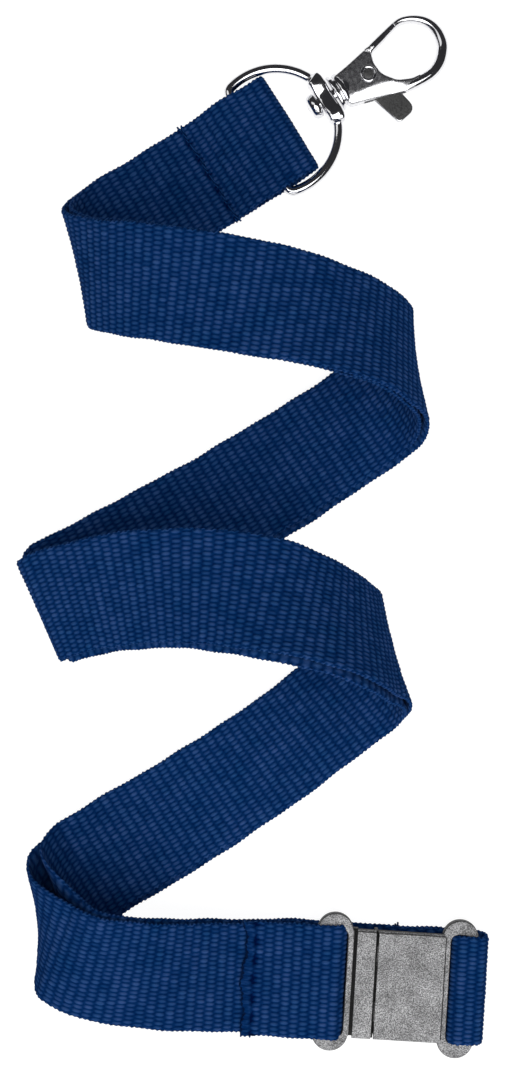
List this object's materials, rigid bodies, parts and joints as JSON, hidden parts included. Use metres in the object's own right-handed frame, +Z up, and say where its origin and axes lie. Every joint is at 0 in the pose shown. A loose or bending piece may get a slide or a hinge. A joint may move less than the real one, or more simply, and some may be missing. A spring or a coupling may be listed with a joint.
{
  "type": "neck lanyard",
  "caption": "Doubled woven neck strap lying as a loose coil, with a swivel trigger hook on a D-ring and a pull-apart safety buckle.",
  "frame": {"origin": "middle of the bounding box, on the surface that the lanyard lies on", "axes": "+Y along the coil from the buckle to the hook, +X to the buckle's socket side, +Z up from the surface"},
  "size_m": [0.086, 0.1906, 0.0318],
  "materials": {
    "webbing": "woven polyester, matt",
    "thread": "matt thread",
    "chrome": "polished plating",
    "spring_steel": "drawn wire",
    "buckle_plastic": "fine spark texture"
  },
  "bodies": {
    "strap": {"ring_loop": "webbing", "outer_turn_1": "webbing", "outer_turn_2": "webbing", "outer_turn_3": "webbing", "outer_turn_4": "webbing", "outer_turn_5": "webbing", "tongue_loop": "webbing", "inner_turn_1": "webbing", "inner_turn_2": "webbing", "inner_turn_3": "webbing", "inner_turn_4": "webbing", "inner_turn_5": "webbing", "inner_slack": "webbing", "ring_seam": "thread", "tongue_seam": "thread", "buckle_tongue": "buckle_plastic"},
    "ring": {"d_ring": "chrome"},
    "hook": {"hook_body": "chrome", "swivel_stud": "chrome", "lever_rivet": "chrome", "lever_spring": "spring_steel"},
    "lever": {"thumb_lever": "chrome"},
    "socket": {"inner_floor_run": "webbing", "buckle_socket": "buckle_plastic", "socket_loop": "webbing", "socket_seam": "thread"}
  },
  "joints": [
    {"name": "ring_hinge", "type": "hinge", "parent": "strap", "child": "ring", "pos_m": [0.00084, 0.07218, 0.0028], "axis": [0.5299, -0.848, 0], "range_deg": [0, 110]},
    {"name": "hook_swivel", "type": "hinge", "parent": "ring", "child": "hook", "pos_m": [0.0132, 0.0799, 0.0028], "axis": [0.848, 0.5299, 0], "continuous": true},
    {"name": "lever_pivot", "type": "hinge", "parent": "hook", "child": "lever", "pos_m": [0.02087, 0.08423, 0.0028], "axis": [0, 0, -1], "range_deg": [0, 24], "stiffness_Nm_per_rad": 0.02, "springref_deg": -8.59},
    {"name": "buckle_release", "type": "slide", "parent": "strap", "child": "socket", "axis": [0.9981, -0.061, 0], "range_m": [0, 0.01], "deforming": ["inner_slack"]}
  ]
}
